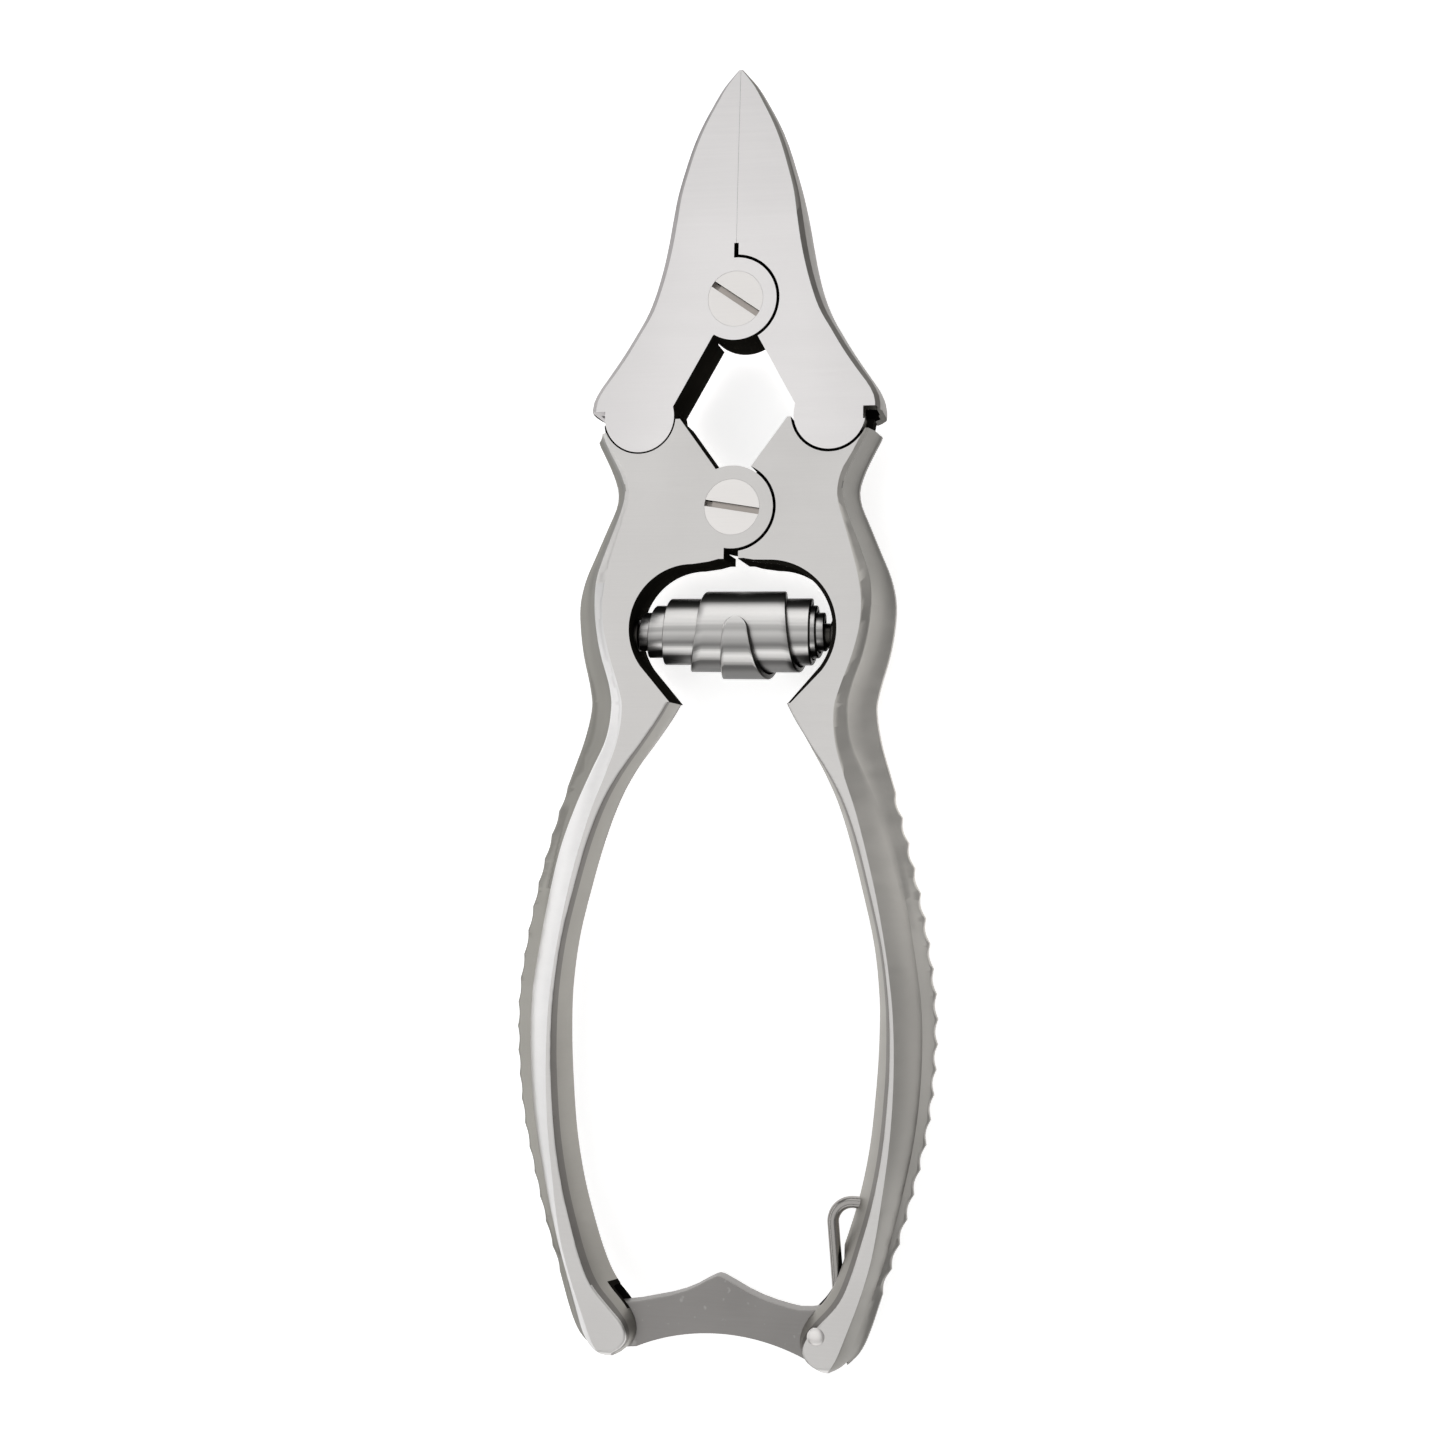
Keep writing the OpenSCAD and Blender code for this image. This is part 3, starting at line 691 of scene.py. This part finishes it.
def mix_colours(tree, how, a, b):
    mix = node(tree, "ShaderNodeMix", data_type="RGBA", blend_type=how)
    mix.inputs[0].default_value = 1.0
    tree.links.new(a, mix.inputs[COLOUR_A])
    tree.links.new(b, mix.inputs[COLOUR_B])
    return mix.outputs[COLOUR_OUT]


def steel(name, light, deep, rough, grain, grain_scale, bump, specks=0.0, metal=1.0):
    """Ground stainless steel: fine grinding lines, slow cloudy variation, and roughness that follows them."""
    mat = bpy.data.materials.new(name)
    mat.use_nodes = True
    tree = mat.node_tree
    tree.nodes.clear()
    link = tree.links.new
    out = node(tree, "ShaderNodeOutputMaterial")
    bsdf = node(tree, "ShaderNodeBsdfPrincipled", Metallic=metal)
    bsdf.inputs["Specular IOR Level"].default_value = 0.5 if metal else 0.0
    link(bsdf.outputs[0], out.inputs[0])
    coords = node(tree, "ShaderNodeTexCoord")
    stretch = node(tree, "ShaderNodeMapping", Scale=grain)
    link(coords.outputs["Object"], stretch.inputs[0])
    lines = node(tree, "ShaderNodeTexNoise", Scale=grain_scale, Detail=6.0, Roughness=0.65)
    link(stretch.outputs[0], lines.inputs["Vector"])
    clouds = node(tree, "ShaderNodeTexNoise", Scale=90.0, Detail=3.0, Roughness=0.5)
    link(coords.outputs["Object"], clouds.inputs["Vector"])
    blend = node(tree, "ShaderNodeMix", data_type="FLOAT")
    blend.inputs[0].default_value = 0.45
    link(lines.outputs["Fac"], blend.inputs[NUMBER_A])
    link(clouds.outputs["Fac"], blend.inputs[NUMBER_B])
    colour = colour_ramp(tree, blend.outputs[NUMBER_OUT], [(0.3, deep), (0.7, light)])
    if specks:
        dots = node(tree, "ShaderNodeTexNoise", Scale=900.0, Detail=2.0)
        link(coords.outputs["Object"], dots.inputs["Vector"])
        picked = colour_ramp(tree, dots.outputs["Fac"], [(0.66, grey(0)), (0.74, grey(specks))])
        colour = mix_colours(tree, "ADD", colour, picked)
    link(colour, bsdf.inputs["Base Color"])
    link(remap(tree, lines.outputs["Fac"], (0.3, 0.7), rough), bsdf.inputs["Roughness"])
    relief = node(tree, "ShaderNodeBump", Strength=bump, Distance=0.00004)
    link(lines.outputs["Fac"], relief.inputs["Height"])
    link(relief.outputs[0], bsdf.inputs["Normal"])
    return mat


# Painted light and shade, as tones: BANDS paints reflection bands by how far the polished strip looks up the tool,
# STEEP paints shade by how far the left bevel looks forward, LIFT, FALL and FALL_OUT paint light and shade by height up
# the tool in metres, MIDDLE by the place from side to side
BANDS = [(-1.0, 0.125), (-0.9, 0.2), (-0.8, 0.145), (-0.76, 0.18), (-0.71, 0.7), (-0.66, 1.0), (-0.56, 1.0),
         (-0.51, 0.75), (-0.46, 0.42), (-0.385, 0.3), (-0.27, 0.46), (-0.1, 0.59), (0.0, 0.45), (0.07, 0.51),
         (0.165, 0.8), (0.26, 1.0), (0.45, 0.86), (0.6, 1.0), (0.65, 0.82), (0.7, 0.38), (0.75, 0.26), (1.0, 0.1)]
LIFT = [(-0.1, 0.74), (-0.054, 0.77), (-0.035, 0.94), (-0.017, 1.0), (0.0, 1.0), (0.014, 0.74)]
FALL = [(-0.08, 0.55), (-0.053, 0.66), (-0.035, 0.86), (-0.017, 1.1), (0.0, 0.88), (0.01, 0.7), (0.017, 0.95),
        (0.035, 1.0)]
FALL_OUT = [(-0.08, 0.55), (-0.053, 0.66), (-0.035, 0.86), (-0.017, 1.1), (0.0, 1.0), (0.01, 0.85), (0.017, 0.52),
            (0.035, 0.44)]
MIDDLE = [(-0.018, 0.9), (-0.004, 1.0), (0.006, 1.0), (0.018, 0.92)]
STEEP = [(0.4, 0.42), (0.55, 0.52), (0.83, 0.8), (0.87, 0.62), (0.93, 0.82), (0.97, 1.0)]


def graded(mat, source, axis, stops):
    """Multiplies the base colour of a steel by soft bands over an object coordinate or normal, which paint light and
    shade on the bevels and the spring.
    """
    tree = mat.node_tree
    bsdf = next(n for n in tree.nodes if n.type == "BSDF_PRINCIPLED")
    colour = bsdf.inputs["Base Color"].links[0].from_socket
    low, high = stops[0][0], stops[-1][0]
    top = max(tone for _, tone in stops)
    coords = node(tree, "ShaderNodeTexCoord")
    split = node(tree, "ShaderNodeSeparateXYZ")
    tree.links.new(coords.outputs[source], split.inputs[0])
    bands = colour_ramp(tree, remap(tree, split.outputs[axis], (low, high)),
                        [((value - low) / (high - low), grey(tone / top)) for value, tone in stops], "EASE")
    tree.links.new(mix_colours(tree, "MULTIPLY", colour, bands), bsdf.inputs["Base Color"])


# Each steel: name, light and deep tone, range of roughness, stretch and scale of the grain, bump
SATIN = ((0.36, 0.46), (1, 30, 12), 70, 0.06)
DULL = ((0.42, 0.54), (6, 14, 6), 40, 0.05)
BROAD = ((0.46, 0.56), (6, 14, 6), 40, 0.05)
STEELS = {
    "satin": ("satin_handle_steel", (0.725, 0.71, 0.695), (0.65, 0.635, 0.62), *SATIN),
    "jaw": ("satin_jaw_steel", (0.90, 0.88, 0.875), (0.84, 0.82, 0.815), *SATIN),
    # jaw_edge and jaw_side are darker copies of the jaw steel: painted shade on the side bevels
    "jaw_edge": ("jaw_edge_steel", (0.56, 0.54, 0.54), (0.48, 0.46, 0.46), *DULL),
    "jaw_side": ("jaw_side_steel", (0.29, 0.275, 0.26), (0.24, 0.23, 0.215), *DULL),
    # painted highlight: a lighter copy of the handle steel for the left broad bevel, graded by height with LIFT
    "bright": ("bright_bevel_steel", (0.95, 0.94, 0.935), (0.87, 0.86, 0.855), (0.4, 0.46), (6, 14, 6), 40, 0.04),
    # painted light and shade: the right handle's bevels are made lighter and darker by height with FALL and FALL_OUT
    "bevel": ("olive_bevel_steel", (0.74, 0.715, 0.675), (0.64, 0.62, 0.58), *BROAD),
    "olive": ("olive_side_steel", (0.74, 0.715, 0.675), (0.64, 0.62, 0.58), *BROAD),
    # painted shade: near-black for the pocket under the right jaw's shoulder
    "pocket": ("pocket_steel", (0.09, 0.085, 0.07), (0.06, 0.056, 0.045), (0.5, 0.6), (4, 4, 20), 60, 0.05),
    # painted shade: a darker copy of the handle steel for the left outer bevel, darker where it faces sideways (STEEP)
    "strip": ("left_bevel_steel", (0.5, 0.487, 0.45), (0.42, 0.405, 0.37), *DULL),
    # painted shade: a darker copy of the handle steel for sides and inner walls
    "side": ("dull_side_steel", (0.43, 0.415, 0.385), (0.35, 0.335, 0.31), *DULL),
    # painted shade: near-black for recesses, gaps and walls that lie in shade
    "wall": ("dark_recess_steel", (0.016, 0.015, 0.012), (0.009, 0.008, 0.007), (0.45, 0.6), (4, 4, 20), 60, 0.1),
    "line": ("shaded_edge_steel", (0.28, 0.265, 0.25), (0.22, 0.21, 0.2), (0.45, 0.55), (6, 14, 6), 40, 0.05),
    "screw": ("screw_steel", (0.91, 0.885, 0.865), (0.83, 0.805, 0.785), (0.34, 0.44), (1, 20, 12), 90, 0.06),
    # painted shade: a darker copy of the screw steel for the floor of the slot
    "slot": ("screw_slot_steel", (0.62, 0.57, 0.53), (0.42, 0.38, 0.35), (0.4, 0.5), (1, 12, 12), 90, 0.1),
    # painted reflection: light and dark bands over the normal (BANDS) on the polished strip
    "spring": ("polished_spring_steel", (1.0, 0.985, 0.965), (0.86, 0.845, 0.825), (0.34, 0.42), (1, 50, 50), 40, 0.04),
    "latch": ("dull_latch_steel", (0.36, 0.345, 0.335), (0.28, 0.27, 0.26), (0.4, 0.52), (1, 18, 12), 60, 0.1),
    "wire": ("wire_steel", (0.38, 0.365, 0.35), (0.32, 0.305, 0.29), (0.22, 0.28), (3, 3, 3), 20, 0.0),
    # painted shade: near-black for the spring seats and the right-hand edges of the strip
    "dark": ("seat_steel", (0.07, 0.066, 0.06), (0.045, 0.042, 0.038), (0.3, 0.45), (1, 30, 30), 60, 0.1)}
EXTRAS = {"wall": {"metal": 0.0}, "latch": {"specks": 0.1}}
GRADES = {"jaw": ("Object", "X", MIDDLE), "bright": ("Object", "Y", LIFT), "bevel": ("Object", "Y", FALL),
          "olive": ("Object", "Y", FALL_OUT), "strip": ("Normal", "Z", STEEP), "spring": ("Normal", "Y", BANDS)}


def make_materials():
    made = {}
    for key, values in STEELS.items():
        made[key] = steel(*values, **EXTRAS.get(key, {}))
        if key in GRADES:
            graded(made[key], *GRADES[key])
    return made


def make_floor_material():
    """White paper that glows with a painted pool of light in the middle."""
    mat = bpy.data.materials.new("paper_floor")
    mat.use_nodes = True
    tree = mat.node_tree
    link = tree.links.new
    bsdf = tree.nodes["Principled BSDF"]
    noise = node(tree, "ShaderNodeTexNoise", Scale=300.0, Detail=4.0)
    paper = colour_ramp(tree, noise.outputs["Fac"], [(0, grey(0.84)), (1, grey(0.88))])
    link(paper, bsdf.inputs["Base Color"])
    bsdf.inputs["Roughness"].default_value = 0.9
    coords = node(tree, "ShaderNodeTexCoord")
    reach = node(tree, "ShaderNodeVectorMath", operation="LENGTH")
    link(coords.outputs["Object"], reach.inputs[0])
    # painted light: the floor glows, strongest in a pool round the middle
    pool = remap(tree, reach.outputs["Value"], (0.13, 0.5), (0.62, 0.1), interpolation_type="SMOOTHSTEP")
    bsdf.inputs["Emission Color"].default_value = (1, 1, 1, 1)
    link(pool, bsdf.inputs["Emission Strength"])
    return mat


# ---------------------------------------------------------------- which face gets which steel, painted light or painted shade
# Places in a piece's list of steels: ground face, side in painted shade, recess in painted shade, edge in painted
# shade, broad bevel with painted light and shade, outer bevel with painted light and shade
FACE, SIDE, WALL, LINE, BEVEL, STRIPE = range(6)
FACING, LEVEL, UPRIGHT = 0.985, 0.98, 0.3        # z part of the normal of a ground face, a level floor and a wall
SKIN = 0.1                                       # a ground face is within this of the full thickness
SCREW_EDGE = HEAD_R + 0.1                        # just past the edge of a screw head


def paint(obj, pick):
    """Gives each polygon the steel, painted light or painted shade that pick(centre in mm from the handle pivot,
    normal) names.
    """
    for poly in obj.data.polygons:
        x, y, z = poly.center / MM
        poly.material_index = pick(x, y - PIVOT_Y, z, poly.normal)


def near(x, y, centre, r):
    return (x - centre[0]) ** 2 + (y - centre[1]) ** 2 < r * r


def handle_finish_and_painted_light(side):
    """Steel of each polygon of a handle, with painted shade in recesses, on sides and edges, and painted light and
    shade on the bevels; x runs outwards from the middle of the tool on both sides.
    """
    lap_r, socket_r, lobe_r, inside_r = 5.6, 5.2, 5.0, 12.4
    slot_top, grip_end, outward = -84, -100.8, 0.85                  # outward: where the bevels lie across a grip

    def pick(x, y, z, normal):
        x, up, height = side * x, abs(normal.z), abs(z)
        upright = up < UPRIGHT
        # FACE is the handle's ground steel; the other places are painted light and shade
        if up > FACING and height > HT - SKIN:
            return FACE
        # painted shade (WALL) in the knuckle socket
        if near(x, y, KNUCKLE, socket_r) and (height < TONGUE + 0.05 and x < 15.6 or upright):
            return WALL                                              # knuckle socket and top of the tongue
        if near(x, y, (0, 0), lap_r) and height < 0.4:
            return WALL                                              # floor of the lap joint
        # painted shade: a dark line on the floor of the cavity rebate
        if up > LEVEL and HT - 0.2 < height < HT - 0.05 and y > SPUR_Y and x < 12.9:
            return WALL                                              # rebate of the spring cavity
        if near(x, y, (0, 0), SCREW_EDGE) and z > 0:
            return FACE
        # painted shade on the wall of the spring cavity
        if upright and y > SPUR_Y - 0.1 and (x < inside_r or near(x, y, KNUCKLE, lobe_r)):
            return WALL                                              # wall of the spring cavity
        if y > 10.5:
            return FACE
        row = max(y, grip_end)
        _, edge, bulge, top = at(INNER, min(row, SPUR_Y))
        _, _, crisp, _, crease = at(OUTER, row)
        inner, outer = x + side * lean_x(y, 1 if side > 0 else 0), x + side * lean_x(y, outward)
        in_slot = y < slot_top and height < TONGUE + 0.06 and edge - bulge + 0.3 < x < 15.3
        # painted shade in the latch slot and wire groove
        if in_slot and (up > LEVEL or upright):
            return WALL                                              # latch slot and wire groove
        if y < SPUR_Y and inner < edge + 0.09:                       # inner edge of the grip
            # painted shade on the inner wall beside the latch slot
            if side < 0 and -94.9 < y < -92.2 and z < 2.0:
                return WALL
            # a painted shade line along the rounded inner edge (LINE), and the inner wall below it in painted shade
            # (SIDE)
            return FACE if height > top - 0.08 else LINE if height > top - 0.9 else SIDE
        # outer strip and broad bevel get painted light and shade
        if outer > crisp - 0.02:
            return STRIPE
        on_bevel = outer > crease - 0.02 and (side > 0 or -100 < y < -9)
        return BEVEL if on_bevel else FACE
    return pick


def jaw_finish_and_painted_shade(side):
    """Steel of each polygon of a jaw, with painted shade on walls, side bevels and the pocket; the jaws have no outer
    bevel, and BEVEL is the pocket in the right foot.
    """
    lap_r, lobe_r = 5.6, 5.6

    def pick(x, y, z, normal):
        x, inward, up, height = side * x, side * normal.x < 0.25, abs(normal.z), abs(z)
        upright = up < UPRIGHT
        # FACE is the jaw's ground steel; the other places are painted shade
        if up > FACING and height > HT - SKIN:
            return FACE
        # painted shade in the knuckle groove and in the pocket
        if near(x, y, KNUCKLE, lobe_r) and (height < TONGUE + 0.1 or upright and not (x > 12 and y > 12)):
            in_pocket = x > 15.2 and y < 12.3 and (height < 0.4 or height > TONGUE + 0.1)
            return BEVEL if in_pocket else WALL
        if near(x, y, (0, JAW_PIVOT), SCREW_EDGE) and z > SKIN:
            return FACE
        # painted shade in the lap joint and on inward walls
        if near(x, y, (0, JAW_PIVOT), lap_r) and (height < 0.4 or upright) or upright and inward:
            return WALL
        # painted shade on the side bevel
        if y > 10 and x > at(JAW, min(y, 52.5))[2] + 0.03:
            return SIDE
        return FACE
    return pick


def screw_finish_and_painted_shade(centre_y):
    """The slot in a screw head: SIDE for its floor and WALL for its walls, both in painted shade."""
    def pick(x, y, z, normal):
        if near(x, y, (0, centre_y), HEAD_R - 0.02) and HT - 1.4 < z < HT - 0.03:
            return SIDE if normal.z > 0.5 else WALL
        return FACE
    return pick


def spring_painted_edge_shade(x, y, z, normal):
    """The right-hand edges of the strip get painted shade."""
    return SIDE if normal.x > 0.45 else FACE


# ---------------------------------------------------------------- build
def coat(obj, steels, pick=None):
    """Gives an object its steels, in the order FACE, SIDE, WALL, LINE, BEVEL, STRIPE."""
    obj.data.materials.clear()
    for key in steels:
        obj.data.materials.append(materials[key])
    if pick:
        paint(obj, pick)


def coat_and_attach_piece(obj, body, replaced, steels, pick=None):
    coat(obj, steels, pick)
    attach(obj, body)
    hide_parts(replaced)


materials = make_materials()
coat_and_attach_piece(make_handle(-1), "left_handle", "handle_left",
             ("satin", "side", "wall", "line", "bright", "strip"), handle_finish_and_painted_light(-1))
coat_and_attach_piece(make_handle(1), "right_handle", "handle_right",
             ("satin", "side", "wall", "line", "bevel", "olive"), handle_finish_and_painted_light(1))
coat_and_attach_piece(make_jaw(-1), "left_jaw", "jaw_left",
             ("jaw", "jaw_edge", "wall", "line", "jaw_edge"), jaw_finish_and_painted_shade(-1))
coat_and_attach_piece(make_jaw(1), "right_jaw", "jaw_right",
             ("jaw", "jaw_side", "wall", "line", "pocket"), jaw_finish_and_painted_shade(1))
coat_and_attach_piece(make_screw("jaw_screw_steel", JAW_PIVOT, -34.4), "right_jaw", "jaw_screw",
             ("screw", "slot", "wall"), screw_finish_and_painted_shade(JAW_PIVOT))
coat_and_attach_piece(make_screw("handle_screw_steel", 0, -9.3), "right_handle", "handle_screw",
             ("screw", "slot", "wall"), screw_finish_and_painted_shade(0))
coat_and_attach_piece(make_latch_pin(), "right_handle", "latch_pin", ("screw",))
# the spring seats are near-black painted shade
coat_and_attach_piece(make_seat("spring_seat_left_steel", -1), "left_handle", "spring_seat_left", ("dark",))
coat_and_attach_piece(make_seat("spring_seat_right_steel", 1), "right_handle", "spring_seat_right", ("dark",))
coat_and_attach_piece(make_wire(), "right_handle", "latch_spring", ("wire",))
coat_and_attach_piece(make_latch_bar(), "latch", "latch_bar", ("latch",))

spring = make_spring()
# the strip gets painted reflection bands, and painted shade on its right-hand edges
coat(spring, ("spring", "dark"), spring_painted_edge_shade)
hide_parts("barrel_spring")
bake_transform(spring)


# ---------------------------------------------------------------- stage, light, camera
FLOOR_HALF = 1.6
FLOOR_GAP = 0.0006                               # the floor is just below the lowest point of the part

# Lights: name, place, target, width and length, power
LIGHTS = [("overhead", (-0.16, 0.0, 0.75), (0, -0.01, 0), (0.9, 0.9), 1.9),
          ("left_strip", (-0.7, 0.0, 0.3), (0, -0.02, 0), (0.9, 0.25), 0.9),
          ("top_panel", (0.0, 0.8, 0.5), (0, 0, 0), (0.9, 0.5), 1.5),
          ("bottom_panel", (0.0, -0.8, 0.5), (0, 0, 0), (0.9, 0.5), 1.2)]
WORLD_STRENGTH = 0.26

CAMERA_TURN = (11.48, -2.185, 1.063)             # yaw, pitch and roll in degrees
CAMERA_AIM = Vector((-0.00062, PIVOT_Y * MM - 0.02546, HT * MM))
CAMERA_DISTANCE = 0.2147
SENSOR, LENS = 36, 45.54187                      # millimetres


def make_floor():
    z = CAD_BOX[0][2] - FLOOR_GAP
    corners = [(-FLOOR_HALF, -FLOOR_HALF), (FLOOR_HALF, -FLOOR_HALF), (FLOOR_HALF, FLOOR_HALF),
               (-FLOOR_HALF, FLOOR_HALF)]
    mesh = bpy.data.meshes.new("floor")
    mesh.from_pydata([(x, y, z) for x, y in corners], [], [(0, 1, 2, 3)])
    floor = bpy.data.objects.new("floor", mesh)
    bpy.context.scene.collection.objects.link(floor)
    mesh.materials.append(make_floor_material())


def area_light(name, place, target, size, power):
    data = bpy.data.lights.new(name, "AREA")
    data.shape = "RECTANGLE"
    data.size, data.size_y = size
    data.energy = power
    light = bpy.data.objects.new(name, data)
    bpy.context.scene.collection.objects.link(light)
    light.location = place
    aim = Vector(target) - Vector(place)
    light.rotation_euler = aim.to_track_quat("-Z", "Y").to_euler()


def make_lights():
    world = bpy.data.worlds.new("studio")
    bpy.context.scene.world = world
    world.use_nodes = True
    background = world.node_tree.nodes["Background"]
    background.inputs["Color"].default_value = (1, 1, 1, 1)
    background.inputs["Strength"].default_value = WORLD_STRENGTH
    for light in LIGHTS:
        area_light(*light)


def make_camera():
    """Looks down on the front face, slightly from the latch-pin side."""
    yaw, pitch, roll = (math.radians(a) for a in CAMERA_TURN)
    cy, sy = math.cos(yaw), math.sin(yaw)
    cp, sp = math.cos(pitch), math.sin(pitch)
    cr, sr = math.cos(roll), math.sin(roll)
    turn_y = Matrix(((cy, 0, -sy), (0, 1, 0), (sy, 0, cy)))
    turn_x = Matrix(((1, 0, 0), (0, cp, -sp), (0, sp, cp)))
    turn_z = Matrix(((cr, sr, 0), (-sr, cr, 0), (0, 0, 1)))
    axes = (turn_z @ turn_x @ turn_y).transposed()
    data = bpy.data.cameras.new("camera")
    data.sensor_width = SENSOR
    data.lens = LENS
    data.clip_start = 0.01
    camera = bpy.data.objects.new("camera", data)
    bpy.context.scene.collection.objects.link(camera)
    camera.matrix_world = Matrix.Translation(CAMERA_AIM + axes @ Vector((0, 0, CAMERA_DISTANCE))) @ axes.to_4x4()
    bpy.context.scene.camera = camera


make_floor()
make_lights()
make_camera()
bpy.context.scene.view_settings.view_transform = "Standard"

bpy.context.view_layer.update()
